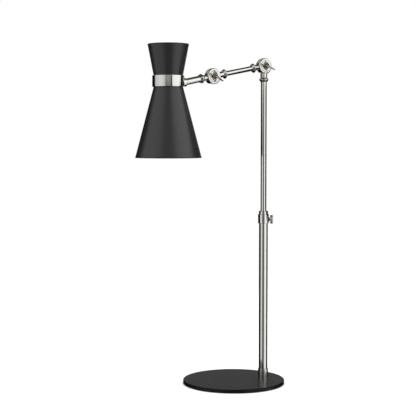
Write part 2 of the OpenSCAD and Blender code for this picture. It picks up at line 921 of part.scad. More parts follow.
module lower_shade() {
    top = flange_z;
    inside = mouth_d / 2 - lower_wall_x;
    color(black_paint)
        difference() {
            on_shade()
                rotate_extrude()
                    polygon([
                        [mouth_d / 2, mouth_z], [neck_r, band_bottom], [neck_r, top],
                        [holder_hole_d / 2, top], [holder_hole_d / 2, top - shade_wall],
                        [neck_ri, top - shade_wall], [neck_ri, band_bottom],
                        [inside - hem_h * lower_slope, mouth_z + hem_h],
                        [inside - hem_w, mouth_z + hem_h / 2], [inside - hem_w, mouth_z]
                    ]);
            flange_holes();
            nipple_way();
        }
}

module upper_shade() {
    inside = top_d / 2 - upper_wall_x;
    color(black_paint)
        difference() {
            on_shade()
                rotate_extrude()
                    polygon([
                        [holder_hole_d / 2, flange_z], [neck_r, flange_z], [neck_r, band_top],
                        [top_d / 2, top_z], [inside - hem_w, top_z],
                        [inside - hem_w, top_z - hem_h / 2],
                        [inside - hem_h * upper_slope, top_z - hem_h],
                        [neck_ri, band_top], [neck_ri, flange_z + shade_wall],
                        [holder_hole_d / 2, flange_z + shade_wall]
                    ]);
            flange_holes();
        }
}

flange_nut_t = 2.4;

module flange_screws() {
    seat = flange_z + shade_wall;
    color(zinc)
        at_flange_screws()
            union() {
                ring(flange_screw_d / 2, 0, flange_z - shade_wall - flange_nut_t - 0.6, seat + eps);
                ring(flange_head_d / 2, 0, seat, seat + 1.8);
            }
}

module flange_nuts() {
    seat = flange_z - shade_wall;
    color(zinc)
        at_flange_screws() hex_nut(5.5, flange_screw_d / 2 + seat_gap, seat - flange_nut_t, seat);
}

// ---------- lampholder and bulb ----------

module shade_ring() {
    top = flange_z - shade_wall;
    color(dark_plastic)
        on_shade() ring(shade_ring_d / 2, barrel_d / 2 + seat_gap, top - shade_ring_h, top);
}

module lampholder_body() {
    bore = barrel_d / 2 - holder_wall;
    color(dark_plastic)
        on_shade()
            rotate_extrude()
                polygon([
                    [bore, barrel_z], [barrel_d / 2, barrel_z], [barrel_d / 2, holder_z],
                    [shoulder_d / 2, holder_z], [shoulder_d / 2, holder_z + 2.5],
                    [barrel_d / 2, holder_z + 2.5], [barrel_d / 2, holder_top], [bore, holder_top]
                ]);
}

module lampholder_core() {
    color(white_paint)
        on_shade() ring(barrel_d / 2 - holder_wall - seat_gap, 2, core_z, holder_top - 1);
}

module lampholder_shell() {
    shell_r = screw_shell_d / 2;
    color(brass) on_shade() ring(shell_r + 0.5, shell_r, core_z - 24, core_z);
}

module lampholder_contact() {
    color(brass)
        on_shade()
            union() {
                ring(4, 0, core_z - 1.2, core_z - eps);
                ring(2 - seat_gap, 0, core_z - 1.2, holder_top - 2);
            }
}

module lampholder_cap() {
    outer = barrel_d / 2;
    cap_z = holder_top;
    rise = holder_cap_h;
    color(dark_plastic)
        on_shade()
            rotate_extrude()
                polygon([
                    [nipple_r - nipple_wall, cap_z + rise], [nipple_r - nipple_wall, cap_z + rise - holder_wall],
                    [outer * 0.6 - holder_wall, cap_z + rise - holder_wall],
                    [outer - holder_wall, cap_z + rise * 0.45], [outer - holder_wall, cap_z],
                    [outer, cap_z], [outer, cap_z + rise * 0.5], [outer * 0.6, cap_z + rise]
                ]);
}

module bulb_cap() {
    outer = bulb_cap_d / 2;
    color(zinc)
        on_shade()
            difference() {
                union() {
                    ring(outer, 0, bulb_cap_z, core_z - 4);
                    translate([0, 0, core_z - 4]) cylinder(r1 = outer - 1.5, r2 = 4.5, h = 2.6);
                }
                ring(outer - 0.7, 0, bulb_cap_z - past, core_z - 6);
            }
}

module bulb_glass() {
    neck_z = core_z - 7;
    color(frosted)
        on_shade()
            difference() {
                union() {
                    translate([0, 0, bulb_centre_z]) sphere(r = bulb_r);
                    translate([0, 0, bulb_centre_z + bulb_r * 0.55])
                        cylinder(r1 = bulb_r * 0.835, r2 = bulb_neck_r, h = 40);
                    ring(bulb_neck_r, 0, bulb_centre_z + bulb_r * 0.55 + 40 - eps, neck_z);
                }
                translate([0, 0, bulb_centre_z]) sphere(r = bulb_r - glass_t);
                translate([0, 0, bulb_centre_z + bulb_r * 0.55])
                    cylinder(r1 = bulb_r * 0.835 - glass_t, r2 = bulb_neck_r - glass_t, h = 40 + eps);
                ring(bulb_neck_r - glass_t, 0, bulb_centre_z + bulb_r * 0.55 + 40 - eps, neck_z + past);
            }
}

base_plate();
base_pad();
cord_inlet_liner();
foot_plug();
foot_screws();
foot_collar();
lower_tube();
clamp_collar();
clamp_cap();
guide_bush();
clamp_shoe();
clamp_knob();
clamp_screw();
guide_ring();
upper_tube();
end_plug();
retaining_ring();
mast_ferrule();
mast_joint_half();
elbow_bezel();
elbow_spring_washer();
elbow_friction_disc();
elbow_key();
elbow_bolt();
arm_rear_half();
elbow_nut();
elbow_rear_cap();
arm_upper_ferrule();
arm_tube();
arm_lower_ferrule();
arm_front_half();
tilt_bezel();
tilt_spring_washer();
tilt_friction_disc();
tilt_key();
tilt_bolt();
head_joint_half();
tilt_nut();
tilt_rear_cap();
head_ferrule();
head_tube();
band_boss();
boss_nipple();
boss_washer();
boss_nut();
shade_band();
lower_shade();
upper_shade();
flange_screws();
flange_nuts();
shade_ring();
lampholder_body();
lampholder_core();
lampholder_shell();
lampholder_contact();
lampholder_cap();
bulb_cap();
bulb_glass();
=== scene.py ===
"""A table lamp with a round black base, a sliding nickel pole and a black hourglass shade.

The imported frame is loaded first. Turned, spun, threaded and blown pieces are then built over it as
meshes, the castings and fasteners keep the frame's own solids, and every surface gets its finish.
"""

import json
import math

import bmesh
import bpy
from bpy.props import FloatProperty, FloatVectorProperty, IntProperty, PointerProperty
from mathutils import Matrix, Vector


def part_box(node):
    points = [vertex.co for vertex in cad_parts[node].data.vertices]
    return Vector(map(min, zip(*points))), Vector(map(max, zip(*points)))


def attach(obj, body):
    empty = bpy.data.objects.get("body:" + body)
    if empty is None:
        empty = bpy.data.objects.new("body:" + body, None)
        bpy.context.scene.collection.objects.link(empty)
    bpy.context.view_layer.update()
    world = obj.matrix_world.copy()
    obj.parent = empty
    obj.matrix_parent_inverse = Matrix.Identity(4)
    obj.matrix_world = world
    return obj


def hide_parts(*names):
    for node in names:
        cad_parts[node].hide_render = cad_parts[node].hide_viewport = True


bl_info = {
    "name": "Hourglass table lamp",
    "version": (1, 0, 0),
    "blender": (4, 5, 0),
    "location": "View3D > Sidebar > Lamp",
    "description": "Builds and finishes an adjustable table lamp with an hourglass shade",
    "category": "Object",
}

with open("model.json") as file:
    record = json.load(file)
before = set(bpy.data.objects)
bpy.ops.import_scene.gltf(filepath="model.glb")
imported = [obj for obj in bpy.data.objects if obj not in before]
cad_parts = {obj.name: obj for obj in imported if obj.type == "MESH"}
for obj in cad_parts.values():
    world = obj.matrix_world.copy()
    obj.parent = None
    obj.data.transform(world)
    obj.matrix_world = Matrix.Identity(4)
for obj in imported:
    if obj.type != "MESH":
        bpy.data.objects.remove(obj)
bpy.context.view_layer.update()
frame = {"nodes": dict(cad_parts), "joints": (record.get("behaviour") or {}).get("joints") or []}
MM = 0.001
JOINTS = {joint["name"]: joint for joint in frame["joints"]}
POLE = Vector(JOINTS["mast_swivel"]["pos_m"]) * Vector((1, 1, 0))
ELBOW = Vector(JOINTS["elbow"]["pos_m"])
TILT = Vector(JOINTS["shade_tilt"]["pos_m"])


def middle(node):
    """The middle of a node's box, in metres."""
    low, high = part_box(node)
    return (low + high) / 2


def radius(node):
    """Half a node's width along Y, in millimetres."""
    low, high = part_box(node)
    return (high.y - low.y) / 2 / MM


def bottom(node):
    """A node's lowest level, in millimetres."""
    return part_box(node)[0].z / MM


def top(node):
    """A node's highest level, in millimetres."""
    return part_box(node)[1].z / MM


SHADE = Vector((middle("shade_band").x, 0, 0))
CLAMP = Vector(JOINTS["clamp_turn"]["pos_m"])
KNOB_DIRECTION = Vector(JOINTS["clamp_turn"]["axis"])

# degrees below level
ARM_SLOPE = math.degrees(math.atan2(ELBOW.z - TILT.z, ELBOW.x - TILT.x))
HEAD_SLOPE = 11.5

# along a neck, from its joint's centre to each end of the ferrule, in millimetres
FERRULE_NEAR = ELBOW.z / MM - top("mast_ferrule")
FERRULE_FAR = ELBOW.z / MM - bottom("mast_ferrule")


# ---------------------------------------------------------------- sizes and colours

class LampSizes(bpy.types.PropertyGroup):
    """Sizes of the details that the finished pieces add to the frame."""
    steps: IntProperty(
        name="Steps round", description="Facets round each turned piece", default=112, min=24)
    metal_edge: FloatProperty(
        name="Metal edge", description="Rounding of the turned metal's edges",
        subtype="DISTANCE", default=0.3 * MM, min=0.05 * MM)
    casting_edge: FloatProperty(
        name="Casting edge", description="Rounding of the joints' castings",
        subtype="DISTANCE", default=0.35 * MM, min=0.05 * MM)
    key_edge: FloatProperty(
        name="Key edge", description="Rounding of the wing keys",
        subtype="DISTANCE", default=0.9 * MM, min=0.1 * MM)
    key_thickness: FloatProperty(
        name="Key thickness", description="Thickness of the wing keys",
        subtype="DISTANCE", default=2.8 * MM, min=2 * MM)
    flutes: IntProperty(
        name="Flutes", description="Flutes round the clamp knob", default=12, min=6, max=20)
    flute_depth: FloatProperty(
        name="Flute depth", description="Depth of those flutes",
        subtype="DISTANCE", default=0.9 * MM, min=0.1 * MM)
    rim_roll: FloatProperty(
        name="Rolled rim", description="Radius of the bead rolled round each shade's rim",
        subtype="DISTANCE", default=1.05 * MM, min=0.5 * MM)
    ribs: IntProperty(
        name="Ring ribs", description="Ribs round the lampholder's ring", default=36, min=12)
    cap_pitch: FloatProperty(
        name="Bulb thread pitch", description="Pitch of the bulb cap's thread",
        subtype="DISTANCE", default=3.6 * MM, min=1 * MM)
    barrel_pitch: FloatProperty(
        name="Barrel thread pitch", description="Pitch of the barrel's thread",
        subtype="DISTANCE", default=2 * MM, min=0.5 * MM)


class LampFinishes(bpy.types.PropertyGroup):
    """Colours and polish of the lamp's finishes."""
    nickel: FloatVectorProperty(
        name="Nickel", description="Colour of the satin nickel", subtype="COLOR",
        default=(0.60, 0.59, 0.56), min=0, max=1)
    # Painted light: the pole's nickel is a brighter copy of the same nickel. It stands in for the
    # brighter reflections on the pole.
    lit_pole_nickel: FloatVectorProperty(
        name="Pole nickel", description="Colour of the pole's brighter nickel", subtype="COLOR",
        default=(0.66, 0.65, 0.62), min=0, max=1)
    nickel_roughness: FloatProperty(
        name="Nickel roughness", description="Roughness of the satin nickel", subtype="FACTOR",
        default=0.11, min=0, max=1)
    black: FloatVectorProperty(
        name="Black paint", description="Colour of the satin black paint", subtype="COLOR",
        default=(0.0135, 0.0138, 0.0148), min=0, max=1)
    black_roughness: FloatProperty(
        name="Paint roughness", description="Roughness of the satin black paint",
        subtype="FACTOR", default=0.33, min=0, max=1)
    base_black: FloatVectorProperty(
        name="Base paint", description="Colour of the base's smoother black paint",
        subtype="COLOR", default=(0.0062, 0.0059, 0.0056), min=0, max=1)
    inside: FloatVectorProperty(
        name="Shade inside", description="Colour of the enamel inside the shades",
        subtype="COLOR", default=(0.82, 0.81, 0.78), min=0, max=1)
    brass: FloatVectorProperty(
        name="Brass", description="Colour of the bolts and springs", subtype="COLOR",
        default=(0.44, 0.385, 0.25), min=0, max=1)


class LampStudio(bpy.types.PropertyGroup):
    """The camera and the light."""
    camera_place: FloatVectorProperty(
        name="Camera place", description="Where the camera stands", subtype="TRANSLATION",
        unit="LENGTH", default=(-1.3825, -2.0059, 0.5183))
    camera_pitch: FloatProperty(
        name="Camera pitch", description="How far the camera looks down", subtype="ANGLE",
        unit="ROTATION", default=math.radians(3.48))
    camera_heading: FloatProperty(
        name="Camera heading", description="How far the camera is turned from +Y towards +X",
        subtype="ANGLE", unit="ROTATION", default=math.radians(33.3))
    lens: FloatProperty(
        name="Lens", description="Focal length of the camera's lens",
        subtype="DISTANCE_CAMERA", default=100.7, min=10)
    overhead: FloatProperty(
        name="Overhead light", description="Power of the overhead light", subtype="POWER",
        default=125, min=0)
    walls: FloatProperty(
        name="Wall light", description="Strength of the studio's walls", subtype="FACTOR",
        default=1.0, min=0, soft_max=2)


# ---------------------------------------------------------------- the studio's light

# Light from round about, as stops of (degrees, strength). ROUND counts from the camera's side,
# plus to the camera's right, and UP from level. A panel's light is its two strengths multiplied.
PANELS_ROUND = ((-180, 0.0), (-112, 0.0), (-104, 0.8), (-97, 0.98), (-80, 1.02), (-68, 1.12),
                (-44, 1.14), (-36, 1.0), (-28, 0.95), (-21, 0.7), (-14, 0.38), (-6, 0.46),
                (1, 0.55), (8, 0.45), (15, 0.38), (20, 0.42), (25, 1.45), (70, 1.62), (102, 1.58),
                (110, 0.0), (180, 0.0))
PANELS_UP = ((-90, 0.02), (-66, 0.03), (-46, 0.55), (-15, 0.75), (0, 0.95), (20, 1.1),
             (36, 1.1), (50, 0.15), (90, 0.02))
WINDOW_ROUND = ((-180, 1.0), (-125, 1.0), (-116, 0.0), (116, 0.0), (130, 1.0), (180, 1.0))
WINDOW_UP = ((-90, 0.0), (5, 0.0), (9, 0.15), (16, 0.15), (24, 0.55), (38, 0.55), (44, 0.04),
             (90, 0.005))
REAR_ROUND = ((-180, 1.5), (-164, 1.5), (-157, 0.0), (157, 0.0), (164, 1.5), (180, 1.5))
REAR_UP = ((-90, 0.02), (-66, 0.03), (-46, 0.6), (-8, 0.9), (2, 0.9), (6, 0.0), (90, 0.0))

# Cards that show only in reflections. Each has its name, the piece that it stands by, how far it
# is from there towards the camera and to the camera's right, the direction of its width given in
# the same way, its width, its lowest and highest level, and its glow. Distances are in metres.
CARDS = (
    ("card_before_pole", POLE, (1.0, -0.089), (0, 1), 0.886, (-0.7, 0.66), 0.16),
    ("card_before_band", SHADE, (0.453, 0.211), (0, 1), 0.075, (0.60, 0.72), 0.0),
    ("card_behind_left", POLE, (-0.1014, -0.2700), (-0.958, 0.286), 0.438, (-0.4, 0.672), 0.0),
    ("card_behind_right", POLE, (-0.1010, 0.2375), (-0.876, -0.482), 0.362, (-0.4, 0.672), 0.0),
    ("card_beside_mast", POLE, (0.1134, 0.3215), (-0.998, 0.061), 0.112, (0.32, 0.645), 0.0),
)


# ---------------------------------------------------------------- node tools

def add_node(tree, kind, **settings):
    """A node with these values for its inputs or its own settings."""
    node = tree.nodes.new(kind)
    for name, value in settings.items():
        if name in node.inputs:
            node.inputs[name].default_value = value
        else:
            setattr(node, name, value)
    return node


def math_node(tree, operation, first, second=None, third=None):
    node = tree.nodes.new("ShaderNodeMath")
    node.operation = operation
    for slot, value in enumerate((first, second, third)):
        if value is None:
            continue
        if isinstance(value, (int, float)):
            node.inputs[slot].default_value = value
        else:
            tree.links.new(value, node.inputs[slot])
    return node.outputs[0]


def mix_colour(tree, factor, first, second):
    node = tree.nodes.new("ShaderNodeMix")
    node.data_type = "RGBA"
    for slot, value in zip((0, 6, 7), (factor, first, second)):
        if isinstance(value, (int, float)):
            node.inputs[slot].default_value = value
        elif isinstance(value, (tuple, list)):
            node.inputs[slot].default_value = (*value[:3], 1)
        else:
            tree.links.new(value, node.inputs[slot])
    return node.outputs[2]


def new_group(name, inputs, outputs):
    """An empty shader node group with named float inputs and outputs."""
    group = bpy.data.node_groups.new(name, "ShaderNodeTree")
    for label, default in inputs:
        socket = group.interface.new_socket(label, in_out="INPUT", socket_type="NodeSocketFloat")
        socket.default_value = default
    for label in outputs:
        group.interface.new_socket(label, in_out="OUTPUT", socket_type="NodeSocketFloat")
    return group, group.nodes.new("NodeGroupInput"), group.nodes.new("NodeGroupOutput")


def turning_marks():
    """Fine marks that run round a turned piece's own axis, and the tone that they give."""
    name = "turning marks"
    if name in bpy.data.node_groups:
        return bpy.data.node_groups[name]
    group, given, out = new_group(
        name, [("Lines per metre", 2500), ("Drift", 40)], ["Height", "Tone"])
    place = group.nodes.new("ShaderNodeTexCoord").outputs["Object"]
    parts = group.nodes.new("ShaderNodeSeparateXYZ")
    group.links.new(place, parts.inputs[0])
    x, y, z = parts.outputs
    away = math_node(group, "SQRT", math_node(
        group, "ADD", math_node(group, "MULTIPLY", x, x), math_node(group, "MULTIPLY", y, y)))
    lines = given.outputs["Lines per metre"]
    joined = group.nodes.new("ShaderNodeCombineXYZ")
    group.links.new(math_node(group, "MULTIPLY", away, lines), joined.inputs[0])
    group.links.new(math_node(group, "MULTIPLY", z, lines), joined.inputs[1])
    group.links.new(math_node(
        group, "MULTIPLY", math_node(group, "ADD", x, y), given.outputs["Drift"]), joined.inputs[2])
    fine = add_node(group, "ShaderNodeTexNoise", Scale=1.0, Detail=2.0, Roughness=0.6)
    broad = add_node(group, "ShaderNodeTexNoise", Scale=0.08, Detail=1.0)
    for noise in (fine, broad):
        group.links.new(joined.outputs[0], noise.inputs["Vector"])
    group.links.new(fine.outputs["Fac"], out.inputs["Height"])
    group.links.new(math_node(
        group, "MULTIPLY_ADD", broad.outputs["Fac"], 0.5,
        math_node(group, "MULTIPLY", fine.outputs["Fac"], 0.5)), out.inputs["Tone"])
    return group


def fine_skin():
    """The faint orange peel of paint, glaze or moulded plastic, and broad uneven patches."""
    name = "fine skin"
    if name in bpy.data.node_groups:
        return bpy.data.node_groups[name]
    group, given, out = new_group(
        name, [("Peel scale", 900), ("Patch scale", 14)], ["Height", "Patch"])
    place = group.nodes.new("ShaderNodeTexCoord").outputs["Object"]
    peel = add_node(group, "ShaderNodeTexNoise", Detail=2.0, Roughness=0.55)
    patch = add_node(group, "ShaderNodeTexNoise", Detail=3.0, Roughness=0.6)
    for noise, label in ((peel, "Peel scale"), (patch, "Patch scale")):
        group.links.new(place, noise.inputs["Vector"])
        group.links.new(given.outputs[label], noise.inputs["Scale"])
    group.links.new(peel.outputs["Fac"], out.inputs["Height"])
    group.links.new(patch.outputs["Fac"], out.inputs["Patch"])
    return group


def use_group(tree, group, **values):
    """The group placed in a tree. An input's name is given with _ for each space."""
    node = tree.nodes.new("ShaderNodeGroup")
    node.node_tree = group
    for label, value in values.items():
        node.inputs[label.replace("_", " ")].default_value = value
    return node


def new_material(name):
    """A material with one Principled shader, its node tree and that shader."""
    material = bpy.data.materials.new(name)
    material.use_nodes = True
    tree = material.node_tree
    tree.nodes.clear()
    shader = tree.nodes.new("ShaderNodeBsdfPrincipled")
    output = tree.nodes.new("ShaderNodeOutputMaterial")
    tree.links.new(shader.outputs[0], output.inputs[0])
    return material, tree, shader


def add_bump(tree, shader, height, distance):
    bump = add_node(tree, "ShaderNodeBump", Strength=1.0, Distance=distance)
    tree.links.new(height, bump.inputs["Height"])
    tree.links.new(bump.outputs[0], shader.inputs["Normal"])


def tint(tree, shader, mask, first, second):
    """The colour, from first where the mask is 0 to second where it is 1."""
    tree.links.new(mix_colour(tree, mask, first, second), shader.inputs["Base Color"])


def polish(tree, shader, mask, low, high):
    """The roughness, from low where the mask is 0 to high where it is 1."""
    rough = math_node(tree, "MULTIPLY_ADD", mask, high - low, low)
    tree.links.new(rough, shader.inputs["Roughness"])


def metal(name, colour, roughness, marks=2500, depth=0.0000012):
    """A turned metal with fine marks round its axis."""
    if name in bpy.data.materials:
        return bpy.data.materials[name]
    material, tree, shader = new_material(name)
    shader.inputs["Metallic"].default_value = 1.0
    lines = use_group(tree, turning_marks(), Lines_per_metre=marks)
    skin = use_group(tree, fine_skin(), Peel_scale=700, Patch_scale=22)
    tint(tree, shader, lines.outputs["Tone"], tuple(part * 0.9 for part in colour), colour)
    uneven = math_node(
        tree, "ADD", math_node(tree, "MULTIPLY", lines.outputs["Tone"], 0.6),
        math_node(tree, "MULTIPLY", skin.outputs["Patch"], 0.4))
    polish(tree, shader, uneven, roughness * 0.7, roughness * 1.35)
    add_bump(tree, shader, lines.outputs["Height"], depth)
    return material


def cast_metal(name, colour, roughness):
    """A polished casting, with no turning marks."""
    if name in bpy.data.materials:
        return bpy.data.materials[name]
    material, tree, shader = new_material(name)
    shader.inputs["Metallic"].default_value = 1.0
    skin = use_group(tree, fine_skin(), Peel_scale=1100, Patch_scale=60)
    tint(tree, shader, skin.outputs["Patch"], tuple(part * 0.9 for part in colour), colour)
    polish(tree, shader, skin.outputs["Patch"], roughness * 0.75, roughness * 1.4)
    add_bump(tree, shader, skin.outputs["Height"], 0.000004)
    return material


def painted(name, colour, roughness, peel=1400, depth=0.000012, coat=0.0, specular=0.5):
    """Sprayed or moulded colour with a faint orange peel."""
    if name in bpy.data.materials:
        return bpy.data.materials[name]
    material, tree, shader = new_material(name)
    skin = use_group(tree, fine_skin(), Peel_scale=peel, Patch_scale=18)
    shader.inputs["Coat Weight"].default_value = coat
    shader.inputs["Specular IOR Level"].default_value = specular
    tint(tree, shader, skin.outputs["Patch"], tuple(part * 0.86 for part in colour), colour)
    polish(tree, shader, skin.outputs["Patch"], roughness * 0.88, roughness * 1.12)
    add_bump(tree, shader, skin.outputs["Height"], depth)
    return material


def frosted_glass():
    """The bulb's glass, etched white inside."""
    name = "frosted bulb glass"
    if name in bpy.data.materials:
        return bpy.data.materials[name]
    material, tree, shader = new_material(name)
    skin = use_group(tree, fine_skin(), Peel_scale=2500, Patch_scale=30)
    tint(tree, shader, skin.outputs["Patch"], (0.86, 0.86, 0.83), (0.93, 0.93, 0.9))
    polish(tree, shader, skin.outputs["Patch"], 0.24, 0.34)
    shader.inputs["Transmission Weight"].default_value = 0.35
    add_bump(tree, shader, skin.outputs["Height"], 0.000006)
    return material


def finishes():
    return bpy.context.scene.lamp_finishes


def sizes():
    return bpy.context.scene.lamp_sizes


def length(name):
    """One of the lamp's sizes, in millimetres."""
    return getattr(sizes(), name) / MM


def nickel():
    return metal("satin nickel", tuple(finishes().nickel), finishes().nickel_roughness)


# The foot collar, the tubes, the clamp and the knob take the pole's nickel, a brighter copy of the
# nickel that paints in the pole's brighter reflections.
def brushed_nickel():
    return metal("brushed nickel collar", tuple(finishes().lit_pole_nickel), 0.24,
                 marks=1500, depth=0.0000006)


def lit_pole_nickel():
    return metal("drawn nickel tube", tuple(finishes().lit_pole_nickel),
                 finishes().nickel_roughness, marks=1500, depth=0.0000006)


def knob_nickel():
    return cast_metal("satin nickel knob", tuple(finishes().lit_pole_nickel), 0.3)


def cast_nickel():
    return cast_metal(
        "polished nickel casting", tuple(finishes().nickel), finishes().nickel_roughness * 0.9)


def zinc():
    return metal("zinc steel", (0.50, 0.505, 0.52), 0.33, marks=1800)


def brass():
    return metal("dull brass", tuple(finishes().brass), 0.34, marks=1800)


def black_paint():
    return painted("satin black paint", tuple(finishes().black), finishes().black_roughness)


def base_paint():
    return painted("smooth black paint", tuple(finishes().base_black),
                   finishes().black_roughness * 0.8, depth=0.000006, specular=0.1)


def inside_enamel():
    return painted("pale enamel inside", tuple(finishes().inside), 0.5, depth=0.00002)


def phenolic():
    return painted("black moulded plastic", (0.028, 0.026, 0.025), 0.36, peel=600)


def nylon():
    return painted("pale nylon", (0.72, 0.71, 0.66), 0.5, peel=500)


def porcelain():
    return painted("glazed porcelain", (0.82, 0.81, 0.78), 0.16, peel=350, coat=0.3)


def pad_rubber():
    return painted("foam rubber pad", (0.035, 0.035, 0.036), 0.85, peel=900, depth=0.00012)


# ---------------------------------------------------------------- mesh tools

def facing_front(place):
    """The frame of a piece turned about a joint's axis, its +Z towards the keys' side."""
    return Matrix.Translation(place) @ Matrix.Rotation(math.radians(90), 4, "X")


def facing_rear(place):
    """The same, with its +Z away from the keys' side."""
    return Matrix.Translation(place) @ Matrix.Rotation(math.radians(-90), 4, "X")


def along(place, turn):
    """The frame of a neck that hangs down from a joint, turned about Y by so many degrees."""
    return Matrix.Translation(place) @ Matrix.Rotation(math.radians(turn), 4, "Y")


def upright(place):
    """The frame of a piece on a vertical axis, with heights counted from the table."""
    return Matrix.Translation(Vector((place.x, place.y, 0)))


def pointing(place, direction):
    """The frame of a piece whose +Z points in a direction."""
    return Matrix.Translation(place) @ direction.to_track_quat("Z", "Y").to_matrix().to_4x4()


def inset(outline, depth):
    """A closed outline, counter-clockwise, moved inwards by a depth."""
    moved = []
    for index, point in enumerate(outline):
        edge = Vector(outline[(index + 1) % len(outline)]) - Vector(outline[index - 1])
        inwards = Vector((-edge.y, edge.x)).normalized()
        moved.append(tuple(Vector(point) + inwards * depth))
    return moved


def rounded(points, size):
    """A closed outline whose corners are rounded. A third number in a point is its own radius."""
    steps = 4
    outline = []
    count = len(points)
    for index, point in enumerate(points):
        here = Vector(point[:2])
        before = Vector(points[index - 1][:2]) - here
        after = Vector(points[(index + 1) % count][:2]) - here
        reach = point[2] if len(point) > 2 else size
        if reach <= 0 or here.x < 1e-6 or before.length < 1e-6 or after.length < 1e-6:
            outline.append(here)
            continue
        u, v = before.normalized(), after.normalized()
        half = math.acos(max(-1.0, min(1.0, u.dot(v)))) / 2
        if half > math.radians(86):
            outline.append(here)
            continue
        trim = min(reach / math.tan(half), 0.48 * before.length, 0.48 * after.length)
        arc_radius = trim * math.tan(half)
        centre = here + (u + v).normalized() * arc_radius / math.sin(half)
        start, end = here + u * trim - centre, here + v * trim - centre
        sweep = start.angle_signed(end)
        for step in range(steps + 1):
            turn = -sweep * step / steps
            outline.append(centre + Matrix.Rotation(turn, 2) @ start)
    return [(max(point.x, 0.0), point.y) for point in outline]


def ring_mesh(name, rings, place, materials, zones=None, loop=True, smooth_angle=38):
    """A mesh through rings of points in millimetres. A ring of one point closes an end.
    zones gives each band between two rings its material."""
    mesh = bpy.data.meshes.new(name)
    build = bmesh.new()
    rows = [[build.verts.new(Vector(point) * MM) for point in ring] for ring in rings]
    spans = len(rows) if loop else len(rows) - 1
    for index in range(spans):
        first, second = rows[index], rows[(index + 1) % len(rows)]
        if len(first) == 1 and len(second) == 1:
            continue
        count = max(len(first), len(second))
        for step in range(count):
            corners = [first[step % len(first)], first[(step + 1) % len(first)],
                       second[(step + 1) % len(second)], second[step % len(second)]]
            unique = [c for n, c in enumerate(corners) if c not in corners[:n]]
            face = build.faces.new(unique)
            face.smooth = True
            face.material_index = zones[index] if zones else 0
    bmesh.ops.recalc_face_normals(build, faces=build.faces)
    build.to_mesh(mesh)
    build.free()
    for material in materials:
        mesh.materials.append(material)
    mesh.set_sharp_from_angle(angle=math.radians(smooth_angle))
    piece = bpy.data.objects.new(name, mesh)
    piece.matrix_world = place
    bpy.context.scene.collection.objects.link(piece)
    return piece


def turns(steps):
    """The angles of so many even steps round the axis."""
    return [2 * math.pi * step / steps for step in range(steps)]


def shaped_ring(distances, height):
    """A ring with a point at each of these distances from the axis, in even steps round it."""
    return [(away * math.cos(turn), away * math.sin(turn), height)
            for turn, away in zip(turns(len(distances)), distances)]


def round_rings(outline, steps):
    """A ring for each (radius, height), or one point where it would lie on the axis."""
    return [[(0, 0, height)] if away < 1e-6 else shaped_ring([away] * steps, height)
            for away, height in outline]


def weighted(piece):
    modifier = piece.modifiers.new("flat faces stay flat", "WEIGHTED_NORMAL")
    modifier.keep_sharp = True
    return piece


def turned(name, points, place, material, edge=None, zones=None, materials=None):
    """A turned piece: an outline of (radius, height) points spun round the frame's Z axis."""
    edge = length("metal_edge") if edge is None else edge
    outline = rounded(points, edge)
    bands = None
    if zones:
        bands = [zones(outline[n], outline[(n + 1) % len(outline)]) for n in range(len(outline))]
    return weighted(ring_mesh(name, round_rings(outline, sizes().steps), place,
                              materials or [material], bands))


def thread_rings(outer, depth, pitch, low, high, steps, per_turn=8):
    """Rings of a rounded thread that fades out at both ends."""
    rings = []
    rows = max(2, round((high - low) / pitch * per_turn))
    for row in range(rows + 1):
        height = low + (high - low) * row / rows
        fade = min(1.0, (height - low) / pitch * 1.5, (high - height) / pitch * 1.5)
        lead = 2 * math.pi * height / pitch
        waves = [0.5 - 0.5 * math.cos(lead - turn) for turn in turns(steps)]
        rings.append(shaped_ring(
            [outer - depth * (1 - fade) - depth * fade * wave for wave in waves], height))
    return rings


def joined(name, first, second):
    """first with second added to it, as one clean mesh."""
    modifier = first.modifiers.new("union", "BOOLEAN")
    modifier.operation = "UNION"
    modifier.solver = "EXACT"
    modifier.object = second
    bpy.context.view_layer.update()
    evaluated = first.evaluated_get(bpy.context.evaluated_depsgraph_get())
    mesh = bpy.data.meshes.new_from_object(evaluated)
    first.modifiers.clear()
    first.data = mesh
    first.name = name
    bpy.data.objects.remove(second)
    mesh.set_sharp_from_angle(angle=math.radians(38))
    return weighted(first)


def settle(piece, body, slot, *nodes):
    """The piece rides on its body and stands for its nodes, which are hidden. slot is not used."""
    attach(piece, body)
    if nodes:
        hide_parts(*nodes)
    return piece


def tube(name, node, body, wall, low, high, place, material, edge=0.1):
    """A plain tube as wide as its node, between two heights of its own frame."""
    outer = radius(node)
    inner = outer - wall
    outline = [(inner, low), (outer, low), (outer, high), (inner, high)]
    settle(turned(name, outline, place, material, edge), body, "nickel", node)


def keep(nodes, material, edge=0.0):
    """The frame's own solids, with a finish and with edges softened by some millimetres."""
    for name in nodes:
        solid = frame["nodes"][name]
        solid.data.materials.clear()
        solid.data.materials.append(material)
        for face in solid.data.polygons:
            face.material_index = 0
        if edge:
            bevel = solid.modifiers.new("soft edges", "BEVEL")
            bevel.width = edge * MM
            bevel.segments = 2
            bevel.limit_method = "ANGLE"
            bevel.angle_limit = math.radians(35)
            bevel.harden_normals = True


# ---------------------------------------------------------------- pieces

class LAMP_OT_base(bpy.types.Operator):
    """Finishes the base plate, its pad, the inlet's liner and the pole's fastenings"""
    bl_idname = "lamp.base"
    bl_label = "Base"

    def execute(self, context):
        keep(["base_plate"], base_paint(), length("metal_edge"))
        keep(["base_pad"], pad_rubber())
        keep(["cord_inlet_liner"], phenolic(), 0.15)
        keep(["foot_plug", "foot_screws"], zinc())
        return {"FINISHED"}


